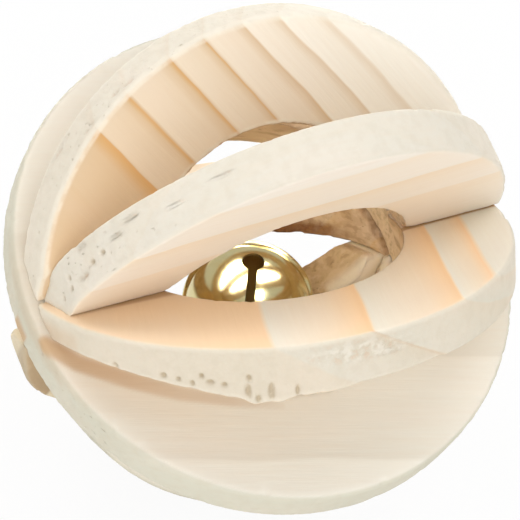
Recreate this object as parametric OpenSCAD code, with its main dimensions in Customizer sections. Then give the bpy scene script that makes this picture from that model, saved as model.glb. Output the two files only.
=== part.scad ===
// Rattle ball for small pets: one full ring and six half rings of pine, glued
// together at the two poles, with a loose jingle bell caged in the middle.
//
// Origin: centre of the ball. +X runs along the pole axis, +Z is up, and the
// ball stands on the rims of its two lowest half rings. A "lean" is the angle
// of a ring's plane about the pole axis, from straight ahead (-Y) up to +Z.

/* [Rings] */
// Outer diameter of the full ring, pole to pole
ball_d = 60; // [55:1:70]
// Thickness of the board that every ring is sawn from
board_t = 5.5; // [4.5:0.1:6]
// Diameter of the hole sawn through the full ring
full_hole_d = 34.4; // [31:0.2:36]
// Outer diameter of the smaller rings that are halved
half_ring_d = 57.6; // [52:0.2:60]
// Diameter of the hole sawn through each of those
half_hole_d = 31.8; // [31:0.2:34]
// Lean of the full ring at the front; the half rings fill the gaps evenly
full_ring_lean = -22.5; // [-22.5:0.5:-20]
// Width of the worn-off edge on every sawn corner
edge_break = 0.25; // [0.1:0.05:0.5]

/* [Seats of the half rings: slide along the pole axis, set-out from it] */
// Seat of the half ring at the front
front_seat = [-0.1, 0.8]; // [-1.5:0.1:2.5]
// Seat of the half ring at the top and front
upper_front_seat = [0.2, 1.4]; // [-1.5:0.1:2.5]
// Seat of the half ring at the top and back
upper_back_seat = [0, 1.5]; // [-1.5:0.1:2.5]
// Seat of the half ring at the back
back_seat = [0.3, 1.1]; // [-1.5:0.1:2.5]
// Seat of the half ring under the back
lower_back_seat = [-1, 1.1]; // [-1.5:0.1:2.5]
// Seat of the half ring under the front
lower_front_seat = [1.2, 0.7]; // [-1.5:0.1:2.5]
// How far the half ring at the back was glued below its lean
back_slip = 0.65; // [0:0.05:1]

/* [Slanted saw cut under the left end of the front half ring] */
// Where the cut starts, along the pole axis
slant_start = -16; // [-20:0.5:-12]
// Slope of the cut
slant = 10.5; // [0.5:0.5:12]

/* [Bell] */
// Outer diameter of the bell's globe
bell_d = 15; // [13:0.5:15]
// Thickness of the bell's brass sheet
bell_wall = 0.4; // [0.3:0.05:0.6]
// How far the rolled seam stands out from the globe
seam_out = 0.35; // [0.2:0.05:0.6]
// Height of each half of the rolled seam
seam_h = 0.45; // [0.3:0.05:0.8]
// Width of the sound slot
slot_w = 1.1; // [0.8:0.1:1.6]
// Diameter of the round hole at each end of the slot
slot_end_d = 2.7; // [2:0.1:3.5]
// Angle from the middle of the mouth to the middle of each end hole
slot_reach = 60; // [30:1:62]
// Diameter of the loop's wire
loop_wire_d = 1.1; // [0.8:0.1:1.4]
// Radius of the loop's bend, to the middle of the wire
loop_bend_r = 1.5; // [1.2:0.1:2]
// Height of the loop above the crown
loop_h = 3; // [2.5:0.1:4]
// Turn of the loop against the slot
loop_turn = 65; // [0:1:90]
// Diameter of the steel pellet that rattles in the bell
pellet_d = 4.2; // [3:0.1:5]

/* [Bell's place] */
// Where the bell has come to rest along the pole axis, from the ball's centre
bell_slide = 0.6; // [-1:0.1:1]
// Lean of the line from the pole axis to the bell's middle, from straight down to the back
bell_swing = 14.9; // [8:0.1:18]
// From the pole axis to the bell's far side, which touches the boards' bores
bell_reach = 16.8; // [16:0.1:17]
// Which way the mouth faces: its turn from straight ahead
mouth_turn = -31; // [-60:1:60]
// Which way the mouth faces: its rise above level
mouth_rise = 26; // [20:1:70]
// Turn of the slot about the middle of the mouth
slot_turn = -92; // [-120:1:-60]

/* [Hidden] */
$fn = 96;

lean_step = 45;                  // eight rims, evenly spaced about the axis
reach = ball_d;                  // longer than anything it has to cut
bell_r = bell_d / 2;
bell_inner_r = bell_r - bell_wall;
bell_sink = bell_reach - bell_r;
bell_middle = [bell_slide, bell_sink * sin(bell_swing), -bell_sink * cos(bell_swing)];
pellet_gap = 0.01;               // the pellet only rests on the sheet
loop_foot_z = bell_inner_r - 1;  // the wire's ends, just inside the crown

// Colours
pine = [0.93, 0.85, 0.72];
brass = [0.80, 0.64, 0.30];
steel = [0.62, 0.63, 0.65];

// The eight rims are numbered from the full ring's front (0), up over the top,
// past the full ring's back (4) and round under the ball.

// How far the board at a rim lies off its own lean, towards the next rim
function slip_at(rim) = rim == 5 ? back_slip : 0;

// Puts a shape drawn flat, with its middle along +Y, in the plane of a rim.
// Its -Z side then faces the next rim.
module at_rim(rim) {
    rotate([180 - full_ring_lean - rim * lean_step, 0, 0])
        translate([0, 0, -slip_at(rim)])
            children();
}

// A flat sawn ring about Z, with its four corners worn off a little
module ring_blank(outer_r, inner_r) {
    half_t = board_t / 2;
    e = edge_break;
    rotate_extrude()
        polygon([
            [inner_r + e, -half_t], [outer_r - e, -half_t],
            [outer_r, e - half_t], [outer_r, half_t - e],
            [outer_r - e, half_t], [inner_r + e, half_t],
            [inner_r, half_t - e], [inner_r, e - half_t]
        ]);
}

// All that lies on one side of a plane through a rim, out to a depth past it:
// towards the next rim (side = 1) or the one before it (side = -1)
module side_of(rim, side, past = 0) {
    at_rim(rim)
        translate([0, 0, side * (past - reach) / 2])
            cube([2 * reach, 2 * reach, reach + past], center = true);
}

// What a saw held aslant took off the far face of a rim's board, at its left end
module slanted_cut(rim) {
    at_rim(rim)
        translate([slant_start, 0, board_t / 2])
            rotate([0, -slant, 0])
                translate([-reach, -reach, 0])
                    cube([reach, 2 * reach, reach]);
}

// A ring sawn in half by the board or boards that it is glued to
module half_ring(rim, seat) {
    color(pine)
        difference() {
            at_rim(rim)
                translate([seat[0], seat[1], 0])
                    ring_blank(half_ring_d / 2, half_hole_d / 2);
            children();
        }
}

// The one ring that stays whole; its rim runs past both poles
module full_ring() {
    color(pine) at_rim(0) ring_blank(ball_d / 2, full_hole_d / 2);
}

// The half rings at the front and back are cut square to the full ring's faces
module front_half_ring() {
    half_ring(1, front_seat) {
        side_of(0, -1, board_t / 2);
        slanted_cut(1);
    }
}

module back_half_ring() {
    half_ring(5, back_seat) side_of(4, -1, board_t / 2);
}

// The other four fit in pairs between two boards, and each pair is mitred
module mitred_half_ring(rim, seat, first_board, last_board, partner_side) {
    half_ring(rim, seat) {
        side_of(first_board, -1, board_t / 2);
        side_of(last_board, 1, board_t / 2);
        side_of((first_board + last_board) / 2, partner_side);
    }
}

module upper_front_half_ring() {
    mitred_half_ring(2, upper_front_seat, 1, 4, 1);
}

module upper_back_half_ring() {
    mitred_half_ring(3, upper_back_seat, 1, 4, -1);
}

module lower_back_half_ring() {
    mitred_half_ring(6, lower_back_seat, 5, 8, 1);
}

module lower_front_half_ring() {
    mitred_half_ring(7, lower_front_seat, 5, 8, -1);
}

// Puts a bell drawn upright, crown up and slot along X, in its place
module in_bell_place() {
    translate(bell_middle)
        rotate([0, 0, mouth_turn])
            rotate([-90 - mouth_rise, 0, 0])
                rotate([0, 0, slot_turn])
                    children();
}

// One half of the bell's sheet, from the seam up, with its rolled lip
module bell_half() {
    difference() {
        union() {
            sphere(r = bell_r);
            cylinder(r = bell_r + seam_out, h = seam_h);
        }
        sphere(r = bell_inner_r);
        translate([0, 0, -reach / 2]) cube(reach, center = true);
    }
}

// The half with the sound slot: a slit with a round hole at each end
module bell_mouth_shell() {
    slot_half_length = bell_r * sin(slot_reach);
    color(brass)
        in_bell_place()
            difference() {
                mirror([0, 0, 1]) bell_half();
                translate([0, 0, -bell_r])
                    cube([2 * slot_half_length, slot_w, bell_d], center = true);
                for (side = [-1, 1])
                    rotate([0, 180 - side * slot_reach, 0])
                        cylinder(d = slot_end_d, h = bell_d);
            }
}

// The half with two small holes, which the loop's wire passes through
module bell_crown_shell() {
    color(brass)
        in_bell_place()
            difference() {
                bell_half();
                rotate([0, 0, loop_turn])
                    for (side = [-1, 1])
                        translate([side * loop_bend_r, 0, 0])
                            cylinder(d = loop_wire_d, h = bell_d);
            }
}

// A bent wire: a half circle on two straight legs that end inside the crown
module bell_loop() {
    bend_z = bell_r + loop_h - loop_bend_r - loop_wire_d / 2;
    color(brass)
        in_bell_place()
            rotate([0, 0, loop_turn]) {
                translate([0, 0, bend_z])
                    rotate([90, 0, 0])
                        rotate_extrude(angle = 180)
                            translate([loop_bend_r, 0]) circle(d = loop_wire_d);
                for (side = [-1, 1])
                    translate([side * loop_bend_r, 0, loop_foot_z])
                        cylinder(d = loop_wire_d, h = bend_z - loop_foot_z);
            }
}

// The loose steel ball, at the lowest point inside the bell
module bell_pellet() {
    drop = bell_inner_r - pellet_d / 2 - pellet_gap;
    color(steel) translate(bell_middle - [0, 0, drop]) sphere(d = pellet_d);
}

full_ring();
upper_back_half_ring();
upper_front_half_ring();
front_half_ring();
lower_front_half_ring();
lower_back_half_ring();
back_half_ring();
bell_mouth_shell();
bell_crown_shell();
bell_loop();
bell_pellet();
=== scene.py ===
"""Looks of a wooden rattle ball: seven sawn pine boards with a loose brass bell inside.

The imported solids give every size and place. Each board is dressed from a copy of its
solid, worked in the board's own plane in millimetres: X along the pole axis, Y outward,
Z through the thickness. The rims are numbered from the full ring's front (0) up over the
top, past its back (4) and round under the ball, as in the part's source.
"""

from __future__ import annotations

import logging
import math
from dataclasses import dataclass, replace
from enum import Enum
from typing import Any, Iterable

import bmesh
import bpy
import numpy as np
from mathutils import Matrix, Vector

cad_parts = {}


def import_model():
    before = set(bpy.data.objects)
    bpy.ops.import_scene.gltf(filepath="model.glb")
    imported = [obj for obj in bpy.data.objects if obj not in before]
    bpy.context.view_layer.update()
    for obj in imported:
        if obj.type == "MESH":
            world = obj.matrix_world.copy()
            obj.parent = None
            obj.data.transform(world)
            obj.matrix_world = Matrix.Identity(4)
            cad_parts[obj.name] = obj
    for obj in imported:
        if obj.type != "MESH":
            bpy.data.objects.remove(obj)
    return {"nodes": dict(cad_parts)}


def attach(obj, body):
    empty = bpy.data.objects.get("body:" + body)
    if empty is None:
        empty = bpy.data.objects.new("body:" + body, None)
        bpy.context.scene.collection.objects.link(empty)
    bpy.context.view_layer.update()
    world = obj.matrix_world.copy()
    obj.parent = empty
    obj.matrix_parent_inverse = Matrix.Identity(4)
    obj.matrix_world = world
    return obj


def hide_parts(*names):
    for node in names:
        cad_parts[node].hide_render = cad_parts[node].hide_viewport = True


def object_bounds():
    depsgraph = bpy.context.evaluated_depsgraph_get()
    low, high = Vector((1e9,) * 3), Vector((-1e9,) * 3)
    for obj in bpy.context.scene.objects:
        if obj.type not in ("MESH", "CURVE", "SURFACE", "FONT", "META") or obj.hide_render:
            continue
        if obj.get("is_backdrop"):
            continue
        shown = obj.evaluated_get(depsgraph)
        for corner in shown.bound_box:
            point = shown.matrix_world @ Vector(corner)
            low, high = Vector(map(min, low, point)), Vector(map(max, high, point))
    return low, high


LOG = logging.getLogger("rattle_ball")

MM = 0.001
BODY = "root"

# Sizes in millimetres and degrees, as in the part's source
FULL_RING_LEAN = -22.5
LEAN_STEP = 45.0
BOARD_T = 5.5
LOW_FACE = -BOARD_T / 2
HIGH_FACE = BOARD_T / 2

# Points that lie nearer to each other than this, in millimetres, become one
WELD = 0.002
# The cosine between the fibres and a face's normal at which end grain starts to show, and
# the one at which it shows fully
END_GRAIN = (0.35, 0.9)

Colour = tuple[float, float, float]


def srgb(red: float, green: float, blue: float) -> Colour:
    """Turns a colour as it is seen, 0 to 255, into linear light.

    Args:
        red: Red, 0 to 255.
        green: Green, 0 to 255.
        blue: Blue, 0 to 255.

    Returns:
        The linear colour, 0 to 1.
    """

    def linear(value: float) -> float:
        """One channel."""
        v = value / 255
        return v / 12.92 if v <= 0.04045 else ((v + 0.055) / 1.055) ** 2.4

    return (linear(red), linear(green), linear(blue))


# ---------------------------------------------------------------- node writing


class Num:
    """A number socket that can stand in a Python expression."""

    def __init__(self, graph: Graph, socket: bpy.types.NodeSocket) -> None:
        """Wraps one output socket of a graph."""
        self.graph = graph
        self.socket = socket

    def math(self, operation: str, *others: Any) -> Num:
        """Adds a Math node whose first value is this one.

        Args:
            operation: The Math node's operation.
            *others: The other values, numbers or Num.

        Returns:
            The Math node's result.
        """
        values = dict(enumerate((self, *others)))
        return self.graph.num("ShaderNodeMath", {"operation": operation}, values)

    def _from(self, operation: str, first: float) -> Num:
        """Adds a Math node whose second value is this one."""
        return self.graph.num("ShaderNodeMath", {"operation": operation}, {0: first, 1: self})

    def __add__(self, other: Any) -> Num:
        """self + other."""
        return self.math("ADD", other)

    def __radd__(self, other: float) -> Num:
        """other + self."""
        return self.math("ADD", other)

    def __sub__(self, other: Any) -> Num:
        """self - other."""
        return self.math("SUBTRACT", other)

    def __rsub__(self, other: float) -> Num:
        """other - self."""
        return self._from("SUBTRACT", other)

    def __mul__(self, other: Any) -> Num:
        """self * other."""
        return self.math("MULTIPLY", other)

    def __rmul__(self, other: float) -> Num:
        """other * self."""
        return self.math("MULTIPLY", other)

    def __truediv__(self, other: Any) -> Num:
        """self / other."""
        return self.math("DIVIDE", other)

    def __rtruediv__(self, other: float) -> Num:
        """other / self."""
        return self._from("DIVIDE", other)

    def __abs__(self) -> Num:
        """The size of self, without its sign."""
        return self.math("ABSOLUTE")

    def larger(self, other: Any) -> Num:
        """The larger of self and other."""
        return self.math("MAXIMUM", other)

    def ramp(self, low: float, high: float) -> Num:
        """Goes smoothly from 0 at low to 1 at high.

        Args:
            low: Where the result is 0.
            high: Where the result is 1.

        Returns:
            The eased number.
        """
        settings = {"interpolation_type": "SMOOTHSTEP"}
        inputs = {"Value": self, "From Min": low, "From Max": high}
        return self.graph.num("ShaderNodeMapRange", settings, inputs)


class Graph:
    """Adds nodes to one node tree."""

    def __init__(self, tree: bpy.types.NodeTree) -> None:
        """Starts to write in a tree."""
        self.tree = tree

    @staticmethod
    def socket(sockets: Any, key: int | str) -> bpy.types.NodeSocket:
        """Finds a socket by its number, or the first one in use by its name.

        Args:
            sockets: A node's inputs or outputs.
            key: The number or the name.

        Returns:
            The socket.
        """
        if isinstance(key, int):
            return sockets[key]
        return next(s for s in sockets if s.name == key and s.enabled)

    def node(
        self, kind: str, settings: dict[str, Any] | None = None, inputs: dict | None = None
    ) -> bpy.types.Node:
        """Adds one node.

        Args:
            kind: The node's type name.
            settings: Its properties, set first. "stops" holds a ramp's (place, colour) pairs.
            inputs: Values or links for its sockets, by number or name.

        Returns:
            The node.
        """
        made = self.tree.nodes.new(kind)
        for name, value in (settings or {}).items():
            if name == "stops":
                self._set_stops(made.color_ramp, value)
            else:
                setattr(made, name, value)
        for key, value in (inputs or {}).items():
            target = self.socket(made.inputs, key)
            if isinstance(value, Num):
                value = value.socket
            if isinstance(value, bpy.types.NodeSocket):
                self.tree.links.new(value, target)
            else:
                target.default_value = value
        return made

    @staticmethod
    def _set_stops(ramp: bpy.types.ColorRamp, stops: Iterable[tuple[float, Colour]]) -> None:
        """Gives a colour ramp its stops.

        Args:
            ramp: The ramp.
            stops: (place, colour) pairs, in order.
        """
        stops = list(stops)
        while len(ramp.elements) < len(stops):
            ramp.elements.new(1.0)
        for element, (place, colour) in zip(ramp.elements, stops):
            element.position = place
            element.color = (*colour, 1.0)

    def out(
        self,
        kind: str,
        settings: dict[str, Any] | None = None,
        inputs: dict | None = None,
        output: int | str = 0,
    ) -> bpy.types.NodeSocket:
        """Adds one node and returns one of its outputs."""
        return self.socket(self.node(kind, settings, inputs).outputs, output)

    def num(
        self,
        kind: str,
        settings: dict[str, Any] | None = None,
        inputs: dict | None = None,
        output: int | str = 0,
    ) -> Num:
        """Adds one node and returns one of its outputs as a number."""
        return Num(self, self.out(kind, settings, inputs, output))

    def point(self, x: Any, y: Any, z: Any) -> bpy.types.NodeSocket:
        """A vector from three numbers."""
        return self.out("ShaderNodeCombineXYZ", None, {0: x, 1: y, 2: z})

    def dot(self, first: Any, second: Any) -> Num:
        """How far one vector reaches along another."""
        settings = {"operation": "DOT_PRODUCT"}
        return self.num("ShaderNodeVectorMath", settings, {0: first, 1: second}, "Value")


class ShaderGraph(Graph):
    """Writes one material."""

    def __init__(self, name: str) -> None:
        """Starts an empty material.

        Args:
            name: The material's name.
        """
        self.material = bpy.data.materials.new(name)
        self.material.use_nodes = True
        self.material.node_tree.nodes.clear()
        super().__init__(self.material.node_tree)
        self.place = self.out("ShaderNodeTexCoord", output="Object")

    def along(self, direction: Vector, offset: float = 0.0) -> Num:
        """How far a point lies along a direction, in millimetres.

        Args:
            direction: The direction, in the row frame. Its length scales the result.
            offset: Added to the result.

        Returns:
            The distance.
        """
        found = self.dot(self.place, tuple(direction / MM))
        return found + offset if offset else found

    def row_point(self) -> bpy.types.NodeSocket:
        """The point in the row frame, in millimetres."""
        return self.point(*(self.along(axis) for axis in Matrix.Identity(3)))

    def noise(self, where: bpy.types.NodeSocket, scale: float, detail: float = 2.0) -> Num:
        """Smooth noise round 0.5, at places given in millimetres."""
        inputs = {"Vector": where, "Scale": scale, "Detail": detail}
        return self.num("ShaderNodeTexNoise", {"noise_dimensions": "3D"}, inputs)

    def mix(self, factor: Any, first: Any, second: Any) -> bpy.types.NodeSocket:
        """Mixes two colours.

        Args:
            factor: How much of the second, 0 to 1.
            first: A colour or a link.
            second: A colour or a link.

        Returns:
            The mixed colour.
        """

        def colour(value: Any) -> Any:
            """Adds the fourth channel to a plain colour."""
            return (*value, 1.0) if isinstance(value, tuple) else value

        inputs = {0: factor, 6: colour(first), 7: colour(second)}
        return self.out("ShaderNodeMix", {"data_type": "RGBA"}, inputs, 2)

    def attribute(self, name: str) -> Num:
        """A number that is stored on the mesh."""
        return self.num("ShaderNodeAttribute", {"attribute_name": name}, None, "Fac")

    def bump(self, height: Num, depth: float, below: Any = None) -> bpy.types.NodeSocket:
        """A normal tilted by a height.

        Args:
            height: The height, about 0 to 1.
            depth: What a height of 1 stands for, in millimetres.
            below: The normal of a coarser bump, if there is one.

        Returns:
            The normal.
        """
        inputs = {"Height": height, "Distance": depth * MM, "Strength": 1.0}
        if below is not None:
            inputs["Normal"] = below
        return self.out("ShaderNodeBump", None, inputs)

    def finish(self, shader: bpy.types.NodeSocket) -> bpy.types.Material:
        """Links the last shader to the output and returns the material."""
        self.node("ShaderNodeOutputMaterial", None, {"Surface": shader})
        return self.material


class SolidGraph(Graph):
    """Writes one Geometry Nodes tree with named inputs."""

    def __init__(self, name: str) -> None:
        """Starts an empty tree that takes and gives geometry.

        Args:
            name: The tree's name.
        """
        super().__init__(bpy.data.node_groups.new(name, "GeometryNodeTree"))
        for way in ("INPUT", "OUTPUT"):
            self.tree.interface.new_socket(
                "Geometry", in_out=way, socket_type="NodeSocketGeometry"
            )
        self.entry = self.tree.nodes.new("NodeGroupInput")

    @property
    def given(self) -> bpy.types.NodeSocket:
        """The geometry that the tree is given."""
        return self.socket(self.entry.outputs, "Geometry")

    def size(self, name: str, kind: str = "NodeSocketFloat") -> Num:
        """Adds a named input and returns it."""
        self.tree.interface.new_socket(name, in_out="INPUT", socket_type=kind)
        return Num(self, self.socket(self.entry.outputs, name))

    def vector(self, operation: str, *values: Any) -> bpy.types.NodeSocket:
        """Adds a Vector Math node and returns its vector."""
        inputs = {3 if operation == "SCALE" and i == 1 else i: v for i, v in enumerate(values)}
        return self.out("ShaderNodeVectorMath", {"operation": operation}, inputs)

    def length(self, vector: bpy.types.NodeSocket) -> Num:
        """How long a vector is."""
        return self.num("ShaderNodeVectorMath", {"operation": "LENGTH"}, {0: vector}, "Value")

    def noise(self, where: bpy.types.NodeSocket, scale: float, detail: float, seed: Any) -> Num:
        """Smooth noise round 0.5 that depends on a seed."""
        inputs = {"Vector": where, "W": seed, "Scale": scale, "Detail": detail}
        return self.num("ShaderNodeTexNoise", {"noise_dimensions": "4D"}, inputs)

    def keep(
        self, geometry: bpy.types.NodeSocket, name: str, value: Num
    ) -> bpy.types.NodeSocket:
        """Stores a number on every point.

        Args:
            geometry: The geometry.
            name: The number's name.
            value: The number.

        Returns:
            The geometry with the number on it.
        """
        settings = {"data_type": "FLOAT", "domain": "POINT"}
        inputs = {"Geometry": geometry, "Name": name, "Value": value}
        return self.out("GeometryNodeStoreNamedAttribute", settings, inputs)

    def moved(
        self, geometry: bpy.types.NodeSocket, shift: Any = (0, 0, 0), turn: Any = (0, 0, 0)
    ) -> bpy.types.NodeSocket:
        """Turns geometry about the origin and then shifts it."""
        inputs = {"Geometry": geometry, "Translation": shift, "Rotation": turn}
        return self.out("GeometryNodeTransform", None, inputs)

    def close(self, geometry: bpy.types.NodeSocket, material: Num) -> bpy.types.NodeTree:
        """Realizes the geometry, gives it its material and ends the tree.

        Args:
            geometry: The geometry.
            material: The input that holds the material.

        Returns:
            The tree.
        """
        real = self.out("GeometryNodeRealizeInstances", None, {"Geometry": geometry})
        inputs = {"Geometry": real, "Material": material}
        dressed = self.out("GeometryNodeSetMaterial", None, inputs)
        exit_node = self.tree.nodes.new("NodeGroupOutput")
        self.tree.links.new(dressed, exit_node.inputs[0])
        return self.tree


def add_tree(
    piece: bpy.types.Object, tree: bpy.types.NodeTree, values: dict[str, Any]
) -> bpy.types.Modifier:
    """Puts a Geometry Nodes modifier on a piece and sets its named inputs.

    Args:
        piece: The object.
        tree: The tree.
        values: The inputs' values, by the names that the tree gives them.

    Returns:
        The modifier.
    """
    modifier = piece.modifiers.new(tree.name, "NODES")
    modifier.node_group = tree
    ids = {s.name: s.identifier for s in tree.interface.items_tree if s.in_out == "INPUT"}
    for name, value in values.items():
        modifier[ids[name]] = value
    return modifier


def baked(piece: bpy.types.Object) -> bpy.types.Object:
    """Turns a piece with live modifiers into a plain mesh piece of the same name.

    Args:
        piece: The piece, which is used up.

    Returns:
        The new piece.
    """
    name = piece.name
    depsgraph = bpy.context.evaluated_depsgraph_get()
    mesh = bpy.data.meshes.new_from_object(piece.evaluated_get(depsgraph))
    bpy.data.objects.remove(piece)
    return new_piece(name, mesh)


def new_piece(name: str, mesh: bpy.types.Mesh) -> bpy.types.Object:
    """Links a mesh to the scene as an object at the origin.

    Args:
        name: The object's name.
        mesh: The mesh.

    Returns:
        The object.
    """
    piece = bpy.data.objects.new(name, mesh)
    bpy.context.scene.collection.objects.link(piece)
    return piece


def stand_in(piece: bpy.types.Object, node: str) -> bpy.types.Object:
    """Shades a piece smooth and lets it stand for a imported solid.

    Args:
        piece: The piece, in its place.
        node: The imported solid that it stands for.

    Returns:
        The piece.
    """
    for polygon in piece.data.polygons:
        polygon.use_smooth = True
    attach(piece, BODY)
    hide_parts(node)
    return piece


# ---------------------------------------------------------------- the boards


class Blemish(Enum):
    """What a spot on a board looks like."""

    PIT = "pit"
    TEAR = "tear"
    BURR = "burr"
    WORN = "worn"


@dataclass(frozen=True)
class Spot:
    """One blemish on a board's rim.

    Attributes:
        kind: What it looks like.
        turn: Its angle round the board's middle, in degrees, 90 at the middle of the arc.
        depthwise: Its place across the thickness, in millimetres.
        length: Its half length round the rim, in millimetres.
        width: Its half width across the thickness, in millimetres.
        depth: How deep it is, or how far a lip hangs out, in millimetres.
    """

    kind: Blemish
    turn: float
    depthwise: float
    length: float
    width: float
    depth: float


@dataclass(frozen=True)
class Split:
    """A shallow hollow where a long splinter came off the rim, with one slanted end.

    Attributes:
        on_low: The turn of its slanted end at the board's low face, in degrees.
        on_high: The turn of its slanted end at the board's high face, in degrees.
        far: The turn at which it runs out, in degrees.
        depth: How deep it is at its slanted end, in millimetres.
        line: How dark the painted shade line along its slanted end is, 0 to 1.
    """

    on_low: float
    on_high: float
    far: float
    depth: float
    line: float

    def share(self, turn: np.ndarray, height: np.ndarray) -> tuple[np.ndarray, np.ndarray]:
        """Works out the hollow at each point of the rim.

        Args:
            turn: The points' angles round the board's middle, in degrees.
            height: Their places across the thickness, in millimetres.

        Returns:
            The depth as a share of the deepest, and the darkness of the painted shade line.
        """
        slant = self.on_low + (self.on_high - self.on_low) * (height / BOARD_T + 0.5)
        past = np.clip(turn - slant + 0.5, 0, 1)
        fade = np.clip((self.far - turn) / (self.far - slant), 0, 1)
        return past * fade, self.line * 4 * past * (1 - past)


@dataclass(frozen=True)
class TonePatch:
    """A patch of the board's patch tint, drawn along a line. Brown ones are mostly painted shade,
    and pale ones are painted light.

    Attributes:
        height: The height that it lies at, in millimetres. It holds for 0.5 mm above and
            below that, and is gone after 1.5 mm.
        path: The line's points in the board's frame: x, y, half width, all in millimetres,
            and strength, 0 to 1.
    """

    height: float
    path: tuple[tuple[float, float, float, float], ...]

    def cover(self, places: np.ndarray) -> np.ndarray:
        """Works out how strongly the mark shows at each place.

        Args:
            places: Points in the board's frame, in millimetres, one in each row.

        Returns:
            A share of 0 to 1 for each point.
        """
        shown = np.zeros(len(places))
        for start, end in zip(np.array(self.path), np.array(self.path[1:])):
            step = end - start
            along = (places[:, :2] - start[:2]) @ step[:2] / (step[:2] @ step[:2])
            nearest = start + np.clip(along, 0, 1)[:, None] * step
            gap = np.linalg.norm(places[:, :2] - nearest[:, :2], axis=1)
            here = nearest[:, 3] * np.exp(-((gap / nearest[:, 2]) ** 5))
            shown = np.maximum(shown, here)
        return shown * np.clip(1.5 - np.abs(places[:, 2] - self.height), 0, 1)


@dataclass(frozen=True)
class Ring:
    """One year's wood in a board.

    Attributes:
        end: Where its dark wood ends, along growth, in millimetres.
        first: How dark it starts, 0 to 1.
        last: How dark it ends, 0 to 1.
    """

    end: float
    first: float = 0.0
    last: float = 1.0


def rings(*ends: float | Ring) -> tuple[Ring, ...]:
    """Makes plain numbers into rings and keeps the rings that are given whole."""
    return tuple(end if isinstance(end, Ring) else Ring(end) for end in ends)


@dataclass(frozen=True)
class PineFinish:
    """The colour and figure of one sawn board.

    Attributes:
        fibre_turn: Angle of the fibres from the pole axis in the board's plane, in degrees.
        growth: The direction in which the tree grew, in the board's frame. Its length
            scales the distances between the rings.
        growth_zero: Added to the distance along growth.
        years: The years' wood, in order. The first only says where the second starts.
        early: The pale wood of spring.
        late: The dark wood of summer.
        rim_tint: The colour of the sawn rim, which is paler.
        rim_shade: The colour of the faint dark lumps on the rim.
        rim_share: How much of the rim's tint shows on the rim, 0 to 1.
        line: How dark the thin line at each ring's edge is, 0 to 1.
        knee: The share of a year's width at which it starts to darken fast, and how dark
            it is there.
        bore_share: How much of the bore tint shows on the bore, 0 to 1.
        pale_edge_reach: How far the pale edges reach in from the edges, 1 for about 0.4 mm. They
            are partly frayed fibres and partly a painted highlight.
        pale_edge_share: How pale the edges are, 0 to 1.
        bore_tint: The colour of the bore's darker tone, partly the sawn wood's own and partly
            painted shade of the ball's inside.
        patch_tint: The colour of the board's tone patches: brown where they are mostly painted
            shade, pale where they are painted light.
        mottle: How strongly large pale patches show, 0 to 1.
        pores: How dark the open pores on the sawn end grain are, 0 to 1.
    """

    fibre_turn: float
    growth: tuple[float, float, float]
    growth_zero: float
    years: tuple[Ring, ...]
    early: Colour = srgb(241, 235, 221)
    late: Colour = srgb(240, 210, 170)
    rim_tint: Colour = srgb(220, 214, 200)
    rim_shade: Colour = srgb(196, 182, 158)
    rim_share: float = 0.85
    line: float = 0.5
    knee: tuple[float, float] = (0.65, 0.45)
    bore_share: float = 0.75
    pale_edge_reach: float = 1.0
    pale_edge_share: float = 1.0
    bore_tint: Colour = srgb(202, 162, 112)
    patch_tint: Colour = srgb(204, 166, 124)
    mottle: float = 0.12
    pores: float = 0.42

    def ring_stops(self, low: float, high: float) -> list[tuple[float, Colour]]:
        """The rings as the stops of a grey ramp.

        Args:
            low: The distance along growth that stands for 0.
            high: The distance that stands for 1.

        Returns:
            (place, colour) pairs, dark wood white.
        """
        stops = []
        for before, year in zip(self.years, self.years[1:]):
            share, darkness = self.knee
            knee = year.first + (year.last - year.first) * darkness
            for at, value in ((0.02, year.first), (share, knee), (0.985, year.last)):
                place = (before.end + (year.end - before.end) * at - low) / (high - low)
                stops.append((place, (value, value, value)))
        return stops


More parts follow.
